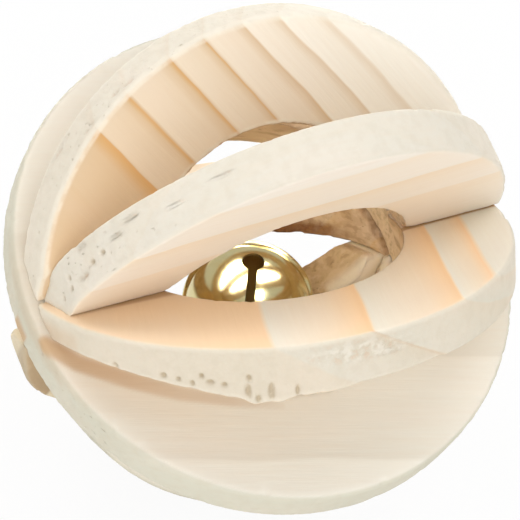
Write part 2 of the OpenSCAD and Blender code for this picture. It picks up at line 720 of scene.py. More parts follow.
@dataclass
class PineBoard:
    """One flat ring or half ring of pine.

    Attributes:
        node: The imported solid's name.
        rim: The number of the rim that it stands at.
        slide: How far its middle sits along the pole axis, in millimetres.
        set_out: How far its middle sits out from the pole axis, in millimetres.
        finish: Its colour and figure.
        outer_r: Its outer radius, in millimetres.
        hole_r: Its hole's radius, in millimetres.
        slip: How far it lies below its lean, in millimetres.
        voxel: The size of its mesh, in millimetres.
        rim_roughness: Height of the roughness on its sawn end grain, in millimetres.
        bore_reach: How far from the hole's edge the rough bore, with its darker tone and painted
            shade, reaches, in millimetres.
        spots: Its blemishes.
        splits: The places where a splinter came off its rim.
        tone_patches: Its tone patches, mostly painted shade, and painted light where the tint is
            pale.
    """

    node: str
    rim: int
    slide: float
    set_out: float
    finish: PineFinish
    outer_r: float = 28.8
    hole_r: float = 15.9
    slip: float = 0.0
    voxel: float = 0.25
    rim_roughness: float = 0.3
    bore_reach: float = 0.9
    spots: tuple[Spot, ...] = ()
    splits: tuple[Split, ...] = ()
    tone_patches: tuple[TonePatch, ...] = ()

    @property
    def axes(self) -> Matrix:
        """The board's frame in the row frame, as a rotation."""
        turn = 180 - FULL_RING_LEAN - self.rim * LEAN_STEP
        return Matrix.Rotation(math.radians(turn), 4, "X")

    @property
    def to_row(self) -> Matrix:
        """Turns millimetres in the board's frame into metres in the row frame."""
        return Matrix.Scale(MM, 4) @ self.axes @ Matrix.Translation((0, 0, -self.slip))

    def solid(self, source: bpy.types.Object) -> bpy.types.Object:
        """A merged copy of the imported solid, in the board's own frame.

        Args:
            source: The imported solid.

        Returns:
            The copy.
        """
        mesh = source.data.copy()
        mesh.transform(self.to_row.inverted())
        work = bmesh.new()
        work.from_mesh(mesh)
        bmesh.ops.remove_doubles(work, verts=work.verts, dist=WELD)
        work.to_mesh(mesh)
        work.free()
        mesh.materials.clear()
        return new_piece(f"{self.node}_wood", mesh)

    def build(self, source: bpy.types.Object, wear: bpy.types.NodeTree) -> bpy.types.Object:
        """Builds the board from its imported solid.

        Args:
            source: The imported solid.
            wear: The tree that softens its edges and roughens its sawn faces.

        Returns:
            The dressed board.
        """
        piece = self.solid(source)
        remesh = piece.modifiers.new("remesh", "REMESH")
        remesh.mode = "VOXEL"
        remesh.voxel_size = self.voxel
        sizes = {
            "Outer Radius": self.outer_r,
            "Hole Radius": self.hole_r,
            "Slide": self.slide,
            "Set Out": self.set_out,
            "Fibre Turn": math.radians(self.finish.fibre_turn),
            "Rim Roughness": self.rim_roughness,
            "Bore Reach": self.bore_reach,
            "Seed": float(self.rim),
            "Material": PineMaterial(self).build(),
        }
        add_tree(piece, wear, sizes)
        piece = baked(piece)
        self.mark(piece.data)
        piece.data.transform(self.to_row)
        return stand_in(piece, self.node)

    def mark(self, mesh: bpy.types.Mesh) -> None:
        """Sinks the board's blemishes into its mesh.

        It stores how deep each point sank, how torn it is, and how strongly its tone patches and
        the splits' painted shade lines cover it.

        Args:
            mesh: The mesh, in the board's frame.
        """
        count = len(mesh.vertices)
        places = np.empty(count * 3, np.float32)
        mesh.vertices.foreach_get("co", places)
        places = places.reshape(-1, 3).astype(float)
        outward = places[:, :2] - (self.slide, self.set_out)
        radius = np.linalg.norm(outward, axis=1)
        turn = np.degrees(np.arctan2(outward[:, 1], outward[:, 0]))
        inset = self.outer_r - radius
        # Blemishes of the rim are gone 1.2 mm in from it, and lips on its edge 4 mm in
        on_rim = np.clip(1.2 - inset, 0, 1)
        near_rim = np.clip((4.0 - inset) / 3.0, 0, 1)
        sunk, torn, worn, tone_patch = np.zeros((4, count))
        for spot in self.spots:
            round_rim = np.radians(turn - spot.turn) * self.outer_r / spot.length
            across = (places[:, 2] - spot.depthwise) / spot.width
            if spot.kind is Blemish.BURR:
                side = math.copysign(1.0, spot.depthwise)
                reach = np.clip(1.0 + across * side, 0, 1) * np.exp(-(round_rim**4))
                ragged = 0.92 + 0.08 * np.sin(np.radians(turn) * self.outer_r * 2.3)
                places[:, 2] += side * spot.depth * reach * ragged * near_rim
                continue
            near = np.exp(-((round_rim**2 + across**2) ** 1.5)) * on_rim
            if spot.kind is Blemish.WORN:
                worn = np.maximum(worn, near * spot.depth)
                continue
            if spot.kind is Blemish.TEAR:
                torn = np.maximum(torn, near)
            sunk = np.maximum(sunk, near * spot.depth)
        for split in self.splits:
            hollow, line = split.share(turn, places[:, 2])
            worn = np.maximum(worn, split.depth * hollow * on_rim)
            # The split's line is painted shade along the step at its slanted end
            tone_patch = np.maximum(tone_patch, line * on_rim)
        # Tone patches: mostly painted shade, and painted light where the tint is pale
        for mark in self.tone_patches:
            tone_patch = np.maximum(tone_patch, mark.cover(places))
        inward = -outward / np.maximum(radius, 1e-6)[:, None]
        places[:, :2] += inward * (sunk + worn)[:, None]
        mesh.vertices.foreach_set("co", places.astype(np.float32).ravel())
        for name, values in (("sunk", sunk), ("torn", torn), ("tone_patch", tone_patch)):
            stored = mesh.attributes.new(name, "FLOAT", "POINT")
            stored.data.foreach_set("value", values.astype(np.float32))


def wear_tree() -> bpy.types.NodeTree:
    """The tree that makes a clean solid look sawn: soft edges, rough end grain, a rough bore.

    Returns:
        The tree. It stores edge, rim and bore on the points for the material.
    """
    g = SolidGraph("board_wear")
    outer_r = g.size("Outer Radius")
    hole_r = g.size("Hole Radius")
    slide = g.size("Slide")
    set_out = g.size("Set Out")
    fibre_turn = g.size("Fibre Turn")
    rim_roughness = g.size("Rim Roughness")
    bore_reach = g.size("Bore Reach")
    seed = g.size("Seed")
    material = g.size("Material", "NodeSocketMaterial")

    place = g.out("GeometryNodeInputPosition")
    normal = g.out("GeometryNodeInputNormal")
    # Blurring rounds the sharp edges, and how far it pulls a point tells how near an edge is
    near, wide = (
        g.out(
            "GeometryNodeBlurAttribute",
            {"data_type": "FLOAT_VECTOR"},
            {"Value": place, "Iterations": steps},
        )
        for steps in (7, 22)
    )
    soft = g.out("GeometryNodeSetPosition", None, {"Geometry": g.given, "Position": near})
    pull = g.vector("SUBTRACT", wide, place)
    edge = g.length(pull)

    # How much of a point is on the sawn rim, and how much on the bore's wall
    from_middle = g.vector("SUBTRACT", place, g.point(slide, set_out, 0.0))
    radius = g.length(g.vector("MULTIPLY", from_middle, (1, 1, 0)))
    rim = (radius - outer_r).ramp(-0.5, -0.15)
    flat = abs(g.dot(normal, (0, 0, 1)))
    near_hole = 1.0 - (radius - hole_r - bore_reach).ramp(-0.5, 0.0)
    bore = near_hole * (1.0 - flat.ramp(0.75, 0.9))

    # Noise drawn out along the fibres, rougher on end grain, and chips off the edges
    with_fibre, fibre_axis = (
        g.out(
            "ShaderNodeVectorRotate",
            {"rotation_type": "Z_AXIS"},
            {"Vector": vector, "Angle": angle},
        )
        for vector, angle in ((place, 0.0 - fibre_turn), ((1, 0, 0), fibre_turn))
    )
    stretched = g.vector("MULTIPLY", with_fibre, (0.1, 1.0, 1.0))
    end_grain = abs(g.dot(normal, fibre_axis))

    fibres = g.noise(stretched, 1.6, 2.0, seed) - 0.5
    lumps = g.noise(place, 0.9, 4.0, seed + 7.0) - 0.5
    chips = g.noise(place, 0.6, 3.0, seed + 13.0).ramp(0.52, 0.72)
    sawn = rim.larger(bore)
    rough = sawn * end_grain.ramp(*END_GRAIN) * rim_roughness
    relief = fibres * 0.05 + lumps * (rough + sawn * 0.05)
    raised, chipped = g.vector("SCALE", normal, relief), g.vector("SCALE", pull, chips * 0.9)
    offset = g.vector("ADD", raised, chipped)
    kept = soft
    for name, value in (("edge", edge), ("rim", rim), ("bore", bore)):
        kept = g.keep(kept, name, value)
    worn = g.out("GeometryNodeSetPosition", None, {"Geometry": kept, "Offset": offset})
    return g.close(worn, material)


# Tints that all boards share
RING_EDGE = srgb(216, 164, 100)
STREAK = srgb(220, 182, 134)
PALE_PATCH = srgb(240, 222, 206)
# Pale edges: partly frayed fibres, partly a painted highlight
PALE_EDGE_AND_HIGHLIGHT = srgb(241, 233, 216)
OPEN_PORE = srgb(204, 186, 156)
# Painted shade in the sunk pits and tears
HOLLOW_SHADE = srgb(178, 160, 130)
SPLINTER = srgb(247, 242, 231)
# Painted shade between and under the torn splinters
SHADE_UNDER_SPLINTER = srgb(216, 186, 158)
# Fur on the bore: paler raised fibres, and painted shade between them
PALE_FUR = srgb(238, 214, 176)
DARK_FUR = srgb(146, 108, 70)
DARK_BORE_PORE = srgb(120, 86, 52)

# How much of a tint shows, 0 to 1, and the tint
Coat = tuple[Num, Colour]


class PineMaterial:
    """The pine of one board, as a solid figure that every sawn face cuts through."""

    def __init__(self, board: PineBoard) -> None:
        """Measures a point along the board's directions and works out its figure.

        Args:
            board: The board.
        """
        f = self.finish = board.finish
        g = self.graph = ShaderGraph(f"pine_{board.node}")
        axes = board.axes.to_3x3()
        turn = math.radians(f.fibre_turn)
        fibre = axes @ Vector((math.cos(turn), math.sin(turn), 0))
        self.along = g.along(fibre)
        self.across = g.along(axes @ Vector((-math.sin(turn), math.cos(turn), 0)))
        self.through = g.along(axes @ Vector((0, 0, 1)))
        self.growth = g.along(axes @ Vector(f.growth), f.growth_zero)
        self.ring = self.year_rings()
        self.streaks = self.noise(0.05, 2.2, 3.0)
        self.fine = self.noise(0.05, 7.0)
        self.lumps = self.noise(1.0, 0.7, 5.0)
        self.pores = self.noise(0.3, 1.9, 4.0)
        self.splinters = self.noise(0.5, 1.1, 5.0, 0.8)
        self.fur = self.noise(0.12, 1.0, 4.0)
        self.rim = g.attribute("rim")
        self.torn = g.attribute("torn")
        # The bore's darker tone: partly the sawn wood's own browner tone, partly painted shade of
        # the ball's inside
        self.bore_tone_and_shade = g.attribute("bore") * f.bore_share
        normal = g.out("ShaderNodeNewGeometry", output="Normal")
        self.end_grain = abs(g.dot(normal, tuple(fibre))).ramp(*END_GRAIN)
        self.pits = self.end_grain * self.rim * self.pores.ramp(0.64, 0.76) * f.pores

    def noise(
        self, stretch: float, scale: float, detail: float = 2.0, narrow: float = 1.0
    ) -> Num:
        """Noise round 0.5 that is drawn out along the fibres.

        Args:
            stretch: How fast it changes along the fibres, as a share.
            scale: Its scale, for places in millimetres.
            detail: How many finer layers it has.
            narrow: How fast it changes across the fibres in the board's plane, as a share.

        Returns:
            The noise.
        """
        where = self.graph.point(self.along * stretch, self.across * narrow, self.through)
        return self.graph.noise(where, scale, detail)

    def year_rings(self) -> Num:
        """Lays out the years' wood, in rings that wander a little.

        Returns:
            How dark the wood is, 0 to 1.
        """
        years = self.finish.years
        low, high = years[0].end, years[-1].end
        wander = (self.noise(0.35, 0.12) - 0.5) * 1.6 + (self.noise(0.35, 0.6) - 0.5) * 0.35
        place = (self.growth + wander - low) / (high - low)
        ramp = {"stops": self.finish.ring_stops(low, high)}
        return self.graph.num("ShaderNodeValToRGB", ramp, {0: place})

    def figure(self) -> list[Coat]:
        """The rings' edges, the rim's own tint, streaks, pale patches and lumps.

        Returns:
            The coats in order, each with how much of it shows.
        """
        f = self.finish
        patches = self.noise(0.35, 0.16, 1.0).ramp(0.45, 0.7)
        return [
            (self.ring.ramp(0.84, 1.0) * f.line, RING_EDGE),
            (self.rim * f.rim_share, f.rim_tint),
            ((self.streaks - 0.35) * 0.16, STREAK),
            (patches * f.mottle, PALE_PATCH),
            (self.rim * self.lumps.ramp(0.42, 0.68) * 0.14, f.rim_shade),
        ]

    def wear(self) -> list[Coat]:
        """Pale edges, partly frayed fibres and partly a painted highlight, open pores, painted
        shade in sunk hollows, and pale splinters with painted shade between them where the wood
        is torn.

        Returns:
            The coats in order, each with how much of it shows.
        """
        f = self.finish
        # Pale edges: partly frayed fibres, partly a painted highlight along the rounded edges
        pale_edge = (self.graph.attribute("edge") * f.pale_edge_reach).ramp(0.13, 0.28)
        pale_edge = pale_edge * (0.3 + self.lumps.ramp(0.35, 0.6) * 0.35)
        ragged = self.noise(0.6, 2.2, 4.0) * 2.0
        # Painted shade in the sunk pits and tears, less where the wood is torn
        hollow = (self.graph.attribute("sunk") * ragged).ramp(0.05, 0.45)
        return [
            (pale_edge * (1.0 - self.rim * 0.5) * f.pale_edge_share, PALE_EDGE_AND_HIGHLIGHT),
            (self.pits, OPEN_PORE),
            (hollow * (1.0 - self.torn * 0.7) * 0.55, HOLLOW_SHADE),
            # Paler torn splinters, and painted shade between them where their bump is low
            (self.torn * self.splinters.ramp(0.46, 0.6) * 0.36, SPLINTER),
            (self.torn * (1.0 - self.splinters.ramp(0.36, 0.46)) * 0.5, SHADE_UNDER_SPLINTER),
        ]

    def bore_tone_and_painted_shading(self) -> list[Coat]:
        """The bore's darker tone, partly painted shade of the ball's inside, with its fur and
        pores, and the board's tone patches, mostly painted shade and painted light.

        Returns:
            The coats in order, each with how much of it shows.
        """
        f = self.finish
        return [
            # The bore tint: partly the wood's own tone, partly painted shade
            (self.bore_tone_and_shade, f.bore_tint),
            # The pale and dark fur follow the fur's bump: paler raised fibres, and painted shade
            # between them
            (self.bore_tone_and_shade * self.fur.ramp(0.5, 0.62) * 0.42, PALE_FUR),
            (self.bore_tone_and_shade * (1.0 - self.fur.ramp(0.38, 0.48)) * 0.45, DARK_FUR),
            (self.bore_tone_and_shade * self.pores.ramp(0.64, 0.74) * 0.55, DARK_BORE_PORE),
            # Tone patches and split lines: mostly painted shade where the tint is brown, painted
            # light where it is pale
            (self.graph.attribute("tone_patch") * 0.9, f.patch_tint),
        ]

    def relief(self) -> bpy.types.NodeSocket:
        """Raises the fibres, then the open pores, then torn and furred wood.

        Returns:
            The normal, tilted by all three.
        """
        g = self.graph
        normal = g.bump(self.streaks * 0.35 + self.fine * 0.25 + self.ring * 0.15, 0.07)
        open_grain = (1.0 - self.pits * 2.4) + self.pores * self.end_grain * 0.6
        normal = g.bump(open_grain, 0.16, normal)
        return g.bump(self.torn * self.splinters + self.bore_tone_and_shade * self.fur, 0.5, normal)

    def build(self) -> bpy.types.Material:
        """Writes the material.

        Returns:
            The material.
        """
        g = self.graph
        tone = g.mix(self.ring, self.finish.early, self.finish.late)
        for share, tint in (*self.figure(), *self.wear(), *self.bore_tone_and_painted_shading()):
            tone = g.mix(share, tone, tint)
        inputs = {
            "Base Color": tone,
            "Roughness": 0.62 + self.fine * 0.2,
            "Normal": self.relief(),
            "IOR": 1.45,
            "Specular IOR Level": 0.15,
        }
        return g.finish(g.out("ShaderNodeBsdfPrincipled", None, inputs))


# ---------------------------------------------------------------- the bell


@dataclass(frozen=True)
class BrassFinish:
    """Polished stamped brass.

    Attributes:
        tint: Its colour.
        cloud_tint: The colour of its faint darker clouds.
        inside: The colour of the unpolished inside.
        roughness: How dull the polish is.
    """

    tint: Colour = srgb(219, 207, 156)
    cloud_tint: Colour = srgb(214, 184, 112)
    inside: Colour = srgb(196, 168, 108)
    roughness: float = 0.12

    def build(self, name: str) -> bpy.types.Material:
        """Writes the material.

        Args:
            name: The material's name.

        Returns:
            The material.
        """
        g = ShaderGraph(name)
        where = g.row_point()
        cloud = g.noise(where, 0.35, 3.0)
        rub = g.noise(where, 2.4, 4.0)
        inner = g.attribute("inner")
        tone = g.mix(cloud.ramp(0.4, 0.75) * 0.35, self.tint, self.cloud_tint)
        tone = g.mix(inner, tone, self.inside)
        inputs = {
            "Base Color": tone,
            "Metallic": 1.0,
            "Roughness": self.roughness + rub * 0.1 + inner * 0.35,
            "Normal": g.bump(rub, 0.006),
        }
        return g.finish(g.out("ShaderNodeBsdfPrincipled", None, inputs))


@dataclass(frozen=True)
class SteelFinish:
    """Plain steel, tumbled dull.

    Attributes:
        tint: Its colour.
        mark_tint: The colour of the marks that tumbling left.
        roughness: How dull it is.
    """

    tint: Colour = srgb(168, 168, 172)
    mark_tint: Colour = srgb(140, 138, 138)
    roughness: float = 0.32

    def build(self, name: str) -> bpy.types.Material:
        """Writes the material.

        Args:
            name: The material's name.

        Returns:
            The material.
        """
        g = ShaderGraph(name)
        marks = g.noise(g.row_point(), 1.8, 4.0)
        inputs = {
            "Base Color": g.mix(marks, self.tint, self.mark_tint),
            "Metallic": 1.0,
            "Roughness": self.roughness + marks * 0.15,
            "Normal": g.bump(marks, 0.01),
        }
        return g.finish(g.out("ShaderNodeBsdfPrincipled", None, inputs))


def arc(
    radius: float, first: float, last: float, steps: int, x: float = 0.0, y: float = 0.0
) -> list[tuple[float, float]]:
    """Points along an arc, with both ends.

    Args:
        radius: Its radius.
        first: Where it starts, in degrees.
        last: Where it ends, in degrees.
        steps: How many steps it has.
        x: Its middle's place across.
        y: Its middle's place up.

    Returns:
        The points.
    """
    turns = np.radians(np.linspace(first, last, steps + 1))
    return [(x + radius * math.cos(a), y + radius * math.sin(a)) for a in turns]


@dataclass
class JingleBell:
    """The loose bell: two stamped shells rolled together, a wire loop and a pellet.

    Attributes:
        radius: Outer radius of the globe. All its lengths are in millimetres.
        wall: Thickness of the sheet.
        seam_out: How far the rolled seam stands out.
        seam_h: Height of each half of the seam.
        slot_w: Width of the sound slot.
        slot_end_d: Diameter of the round hole at each end of the slot.
        slot_reach: Angle from the mouth's middle to each hole's middle, in degrees.
        wire_d: Diameter of the loop's wire.
        bend_r: Radius of the loop's bend.
        loop_h: Height of the loop above the crown.
        loop_foot: How far the wire reaches in past the sheet.
        loop_turn: Turn of the loop against the slot, in degrees.
        slide: Its middle's place along the pole axis.
        swing: Lean of the line from the pole axis to its middle, in degrees.
        reach: From the pole axis to its far side.
        mouth_turn: The mouth's turn from straight ahead, in degrees.
        mouth_rise: The mouth's rise above level, in degrees.
        slot_turn: The slot's turn round the mouth, in degrees.
        globe_steps: How many faces the globe has from pole to seam.
        bead_steps: How many faces the seam's rolled lip has.
        around: How many faces it has all round.
        crease: The angle past which an edge stays sharp, in degrees.
    """

    radius: float = 7.5
    wall: float = 0.4
    seam_out: float = 0.35
    seam_h: float = 0.45
    slot_w: float = 1.1
    slot_end_d: float = 2.7
    slot_reach: float = 60.0
    wire_d: float = 1.1
    bend_r: float = 1.5
    loop_h: float = 3.0
    loop_foot: float = 1.0
    loop_turn: float = 65.0
    slide: float = 0.6
    swing: float = 14.9
    reach: float = 16.8
    mouth_turn: float = -31.0
    mouth_rise: float = 26.0
    slot_turn: float = -92.0
    globe_steps: int = 40
    bead_steps: int = 8
    around: int = 144
    crease: float = 40.0

    @property
    def to_row(self) -> Matrix:
        """Turns millimetres in the bell's frame, crown up, into metres in the row frame.

        Returns:
            The transform.
        """
        sink = self.reach - self.radius
        swing = math.radians(self.swing)
        middle = Vector((self.slide, sink * math.sin(swing), -sink * math.cos(swing)))
        return (
            Matrix.Scale(MM, 4)
            @ Matrix.Translation(middle)
            @ Matrix.Rotation(math.radians(self.mouth_turn), 4, "Z")
            @ Matrix.Rotation(math.radians(-90 - self.mouth_rise), 4, "X")
            @ Matrix.Rotation(math.radians(self.slot_turn), 4, "Z")
        )

    def profile(self) -> list[tuple[float, float]]:
        """Half the wall's outline from the pole's inside round the seam and back, as (r, z).

        Returns:
            The outline's points, for the crown's half.
        """
        bead_r = self.seam_h / 2
        lip_r = self.radius + self.seam_out - bead_r
        clear_of_lip = 0.01
        start = math.degrees(math.asin(self.seam_h / self.radius) + clear_of_lip)
        return [
            *arc(self.radius - self.wall, 90, 0, self.globe_steps),
            *arc(bead_r, -90, 90, self.bead_steps, lip_r, bead_r)[:-1],
            *arc(self.radius, start, 90, self.globe_steps),
        ]

    def half(self, name: str, up: int) -> bpy.types.Object:
        """Spins one half of the sheet.

        Args:
            name: The piece's name.
            up: 1 for the crown, -1 for the mouth.

        Returns:
            The half, in the bell's frame.
        """
        work = bmesh.new()
        circles = []
        for r, z in self.profile():
            if r < WELD:
                circles.append([work.verts.new((0, 0, z * up))])
                continue
            turns = (2 * math.pi * i / self.around for i in range(self.around))
            circles.append(
                [work.verts.new((r * math.cos(a), r * math.sin(a), z * up)) for a in turns]
            )
        for first, second in zip(circles, circles[1:]):
            for i in range(self.around):
                j = (i + 1) % self.around
                corners = [first[i % len(first)], first[j % len(first)]]
                corners += [second[j % len(second)], second[i % len(second)]]
                unique = list(dict.fromkeys(corners))
                if len(unique) > 2:
                    work.faces.new(unique)
        bmesh.ops.recalc_face_normals(work, faces=work.faces)
        mesh = bpy.data.meshes.new(name)
        work.to_mesh(mesh)
        work.free()
        return new_piece(name, mesh)

    def finish_piece(self, piece: bpy.types.Object, node: str) -> bpy.types.Object:
        """Args:
            piece: The piece, in the bell's frame.
            node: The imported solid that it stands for.

        Returns:
            The piece.
        """
        mesh = piece.data
        inside = mesh.attributes.new("inner", "FLOAT", "POINT")
        # Between the sheet's two faces
        limit = self.radius - self.wall * 0.6
        for vertex in mesh.vertices:
            inside.data[vertex.index].value = float(vertex.co.length < limit)
        mesh.transform(self.to_row)
        stand_in(piece, node)
        mesh.set_sharp_from_angle(angle=math.radians(self.crease))
        return piece

    def build(self, metal: bpy.types.Material) -> list[bpy.types.Object]:
        """Builds the shells and the loop. The pellet stays as it is packed.

        Args:
            metal: The brass.

        Returns:
            The pieces.
        """
        sizes = {
            "Globe Radius": self.radius,
            "Slot Width": self.slot_w,
            "End Hole": self.slot_end_d,
            "Reach": math.radians(self.slot_reach),
            "Material": metal,
        }
        mouth = self.half("bell_mouth_sheet", -1)
        add_tree(mouth, keyhole_tree(), sizes)
        mouth = self.finish_piece(baked(mouth), "bell_mouth_shell")
        crown = self.half("bell_crown_sheet", 1)
        crown.data.materials.append(metal)
        crown = self.finish_piece(crown, "bell_crown_shell")
        loop = new_piece("bell_wire_loop", bpy.data.meshes.new("bell_wire_loop"))
        sizes = {
            "Bend Radius": self.bend_r,
            "Wire Radius": self.wire_d / 2,
            "Leg": self.radius + self.loop_h - self.bend_r - self.wire_d / 2,
            "Foot": self.radius - self.wall - self.loop_foot,
            "Turn": math.radians(self.loop_turn),
            "Material": metal,
        }
        add_tree(loop, loop_tree(), sizes)
        loop = self.finish_piece(baked(loop), "bell_loop")
        return [mouth, crown, loop]


def keyhole_tree() -> bpy.types.NodeTree:
    """The tree that cuts the sound slot and its two round end holes out of the mouth.

    Returns:
        The tree.
    """
    g = SolidGraph("bell_keyholes")
    radius = g.size("Globe Radius")
    slot_w = g.size("Slot Width")
    end_hole = g.size("End Hole")
    reach = g.size("Reach")
    material = g.size("Material", "NodeSocketMaterial")
    size = g.point(radius * reach.math("SINE") * 2.0, slot_w, radius * 2.0)
    slot = g.out("GeometryNodeMeshCube", None, {"Size": size}, "Mesh")
    tools = [g.moved(slot, g.point(0.0, 0.0, radius * -1.0))]
    drill_sizes = {"Vertices": 40, "Radius": end_hole * 0.5, "Depth": radius}
    drill = g.out("GeometryNodeMeshCylinder", None, drill_sizes, "Mesh")
    for side in (-1.0, 1.0):
        angle = reach * side
        where = g.point(
            angle.math("SINE") * radius, 0.0, angle.math("COSINE") * radius * -1.0
        )
        tools.append(g.moved(drill, where, g.point(0.0, angle * -1.0, 0.0)))
    cutter = g.node("GeometryNodeMeshBoolean", {"operation": "DIFFERENCE", "solver": "EXACT"})
    g.tree.links.new(g.given, cutter.inputs[0])
    for tool in tools:
        g.tree.links.new(tool, cutter.inputs[1])
    joined = {"Geometry": cutter.outputs[0], "Distance": WELD}
    return g.close(g.out("GeometryNodeMergeByDistance", None, joined), material)


def loop_tree() -> bpy.types.NodeTree:
    """The tree that sweeps the bell's wire loop along its bend.

    Returns:
        The tree.
    """
    g = SolidGraph("bell_loop_wire")
    bend_r = g.size("Bend Radius")
    wire_r = g.size("Wire Radius")
    leg = g.size("Leg")
    foot = g.size("Foot")
    turn = g.size("Turn")
    material = g.size("Material", "NodeSocketMaterial")
    tops, legs = [], []
    for side in (-1.0, 1.0):
        tops.append(g.point(bend_r * side, 0.0, leg))
        ends = {"Start": g.point(bend_r * side, 0.0, foot), "End": tops[-1]}
        legs.append(g.out("GeometryNodeCurvePrimitiveLine", None, ends))
    crest = g.point(0.0, 0.0, leg + bend_r)
    bend_points = {"Resolution": 25, "Start": tops[0], "Middle": crest, "End": tops[1]}
    bend = g.out("GeometryNodeCurveArc", {"mode": "POINTS"}, bend_points)
    join = g.node("GeometryNodeJoinGeometry")
    for part in (bend, *legs):
        g.tree.links.new(part, join.inputs[0])
    round_wire = {"Resolution": 20, "Radius": wire_r}
    ring = g.out("GeometryNodeCurvePrimitiveCircle", None, round_wire)
    swept = {"Curve": join.outputs[0], "Profile Curve": ring, "Fill Caps": True}
    wire = g.out("GeometryNodeCurveToMesh", None, swept)
    return g.close(g.moved(wire, turn=g.point(0.0, 0.0, turn)), material)


# ---------------------------------------------------------------- the studio


def towards(azimuth: float, elevation: float) -> Vector:
    """The direction of an azimuth, 0 in front and 90 to the right, and an elevation."""
    a, e = math.radians(azimuth), math.radians(elevation)
    return Vector((math.sin(a) * math.cos(e), -math.cos(a) * math.cos(e), math.sin(e)))


@dataclass(frozen=True)
class SoftBox:
    """One soft studio lamp.

    Attributes:
        name: Its name.
        azimuth: Where it stands, 0 in front and 90 to the right, in degrees.
        elevation: How high it stands, in degrees.
        distance: How far it is from the ball, in metres.
        size: Its side, in metres.
        level: The share of white that it adds on a surface that faces it.
    """

    name: str
    azimuth: float
    elevation: float
    distance: float
    size: float
    level: float

    def build(self, target: Vector) -> bpy.types.Object:
        """Hangs the lamp, aimed at the ball.

        Args:
            target: The point that it faces.

        Returns:
            The lamp.
        """
        back = towards(self.azimuth, self.elevation)
        data = bpy.data.lights.new(self.name, "AREA")
        data.shape = "SQUARE"
        data.size = self.size
        # The power at which a white surface that faces the lamp shows its level
        data.energy = self.level * math.pi**2 * self.distance**2
        lamp = bpy.data.objects.new(self.name, data)
        lamp.location = target + back * self.distance
        lamp.rotation_mode = "QUATERNION"
        lamp.rotation_quaternion = (-back).to_track_quat("-Z", "Y")
        bpy.context.scene.collection.objects.link(lamp)
        return lamp


@dataclass(frozen=True)
class Window:
    """One bright patch of the world, seen only in polished metal.

    Attributes:
        azimuth: Where it is, 0 in front and 90 to the right, in degrees.
        elevation: How high it is, in degrees.
        spread: Half its width, in degrees.
        brightness: Its strength above the rest, where 1 is white.
        core_share: The share of its width that is fully bright.
    """

    azimuth: float
    elevation: float
    spread: float
    brightness: float
    core_share: float = 0.8

    def share(self, g: Graph, direction: bpy.types.NodeSocket) -> Num:
        """How much of the patch a direction sees.

        Args:
            g: The world's graph.
            direction: The direction.

        Returns:
            The patch's strength in that direction.
        """
        near = g.dot(direction, tuple(towards(self.azimuth, self.elevation)))
        edge = math.cos(math.radians(self.spread))
        core = math.cos(math.radians(self.spread * self.core_share))
        return near.ramp(edge, core) * self.brightness


@dataclass
class Studio:
    """A plain pale floor, a pale world and soft lamps.

    Attributes:
        floor_size: The floor's side, in metres.
        floor_tone: The floor's colour.
        shadow_share: How much of the ball's shadow the floor keeps, 0 to 1.
        ambient: The world's strength on the ball.
        mirrored: The world's strength in polished metal, away from its bright patches.
        lamps: The lamps.
        windows: The bright patches.
    """

    floor_size: float = 4.0
    floor_tone: Colour = (0.9, 0.9, 0.89)
    shadow_share: float = 0.07
    ambient: float = 0.7
    mirrored: float = 0.66
    lamps: tuple[SoftBox, ...] = ()
    windows: tuple[Window, ...] = ()

    def seen_directly(self, g: Graph) -> Num:
        """Tells rays that show the studio itself from those that light the ball.

        Args:
            g: The graph to write in.

        Returns:
            1 for a ray from the camera, a mirror or glass, and 0 for any other.
        """
        rays = g.node("ShaderNodeLightPath")
        camera = Num(g, rays.outputs["Is Camera Ray"])
        glossy = Num(g, rays.outputs["Is Glossy Ray"])
        through = Num(g, rays.outputs["Is Transmission Ray"])
        return camera.larger(glossy).larger(through)

    def build(self, low: Vector, high: Vector) -> None:
        """Lays the floor, lights the world and hangs the lamps.

        Args:
            low: The object's lowest corner.
            high: The object's highest corner.
        """
        self.lay_floor(low.z)
        self.light_world()
        middle = (low + high) / 2
        for lamp in self.lamps:
            lamp.build(middle)

    def lay_floor(self, height: float) -> None:
        """Lays the floor under the ball.

        Args:
            height: Where the floor lies, in metres.
        """
        half = self.floor_size / 2
        mesh = bpy.data.meshes.new("floor")
        corners = [(-half, -half, height), (half, -half, height)]
        corners += [(half, half, height), (-half, half, height)]
        mesh.from_pydata(corners, [], [(0, 1, 2, 3)])
        floor = new_piece("floor", mesh)
        g = ShaderGraph("floor_paper")
        paper = g.out("ShaderNodeBsdfDiffuse", None, {"Color": (*self.floor_tone, 1.0)})
        white = g.out("ShaderNodeEmission", None, {"Color": (1, 1, 1, 1), "Strength": 1.0})
        share = self.seen_directly(g) * (1.0 - self.shadow_share)
        seen = g.out("ShaderNodeMixShader", None, {0: share, 1: paper, 2: white})
        mesh.materials.append(g.finish(seen))
        floor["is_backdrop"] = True

    def light_world(self) -> None:
        """Makes the world pale, and white where it is seen."""
        world = bpy.data.worlds.new("studio")
        world.use_nodes = True
        world.node_tree.nodes.clear()
        g = Graph(world.node_tree)
        direction = g.out("ShaderNodeTexCoord", output="Generated")
        glossy = Num(g, g.node("ShaderNodeLightPath").outputs["Is Glossy Ray"])
        mirrored = self.mirrored - 1.0
        for window in self.windows:
            mirrored = window.share(g, direction) + mirrored
        strength = self.seen_directly(g) * (1.0 - self.ambient) + self.ambient
        strength = strength + glossy * mirrored
        white = {"Color": (1, 1, 1, 1), "Strength": strength}
        light = g.out("ShaderNodeBackground", None, white)
        g.node("ShaderNodeOutputWorld", None, {"Surface": light})
        bpy.context.scene.world = world


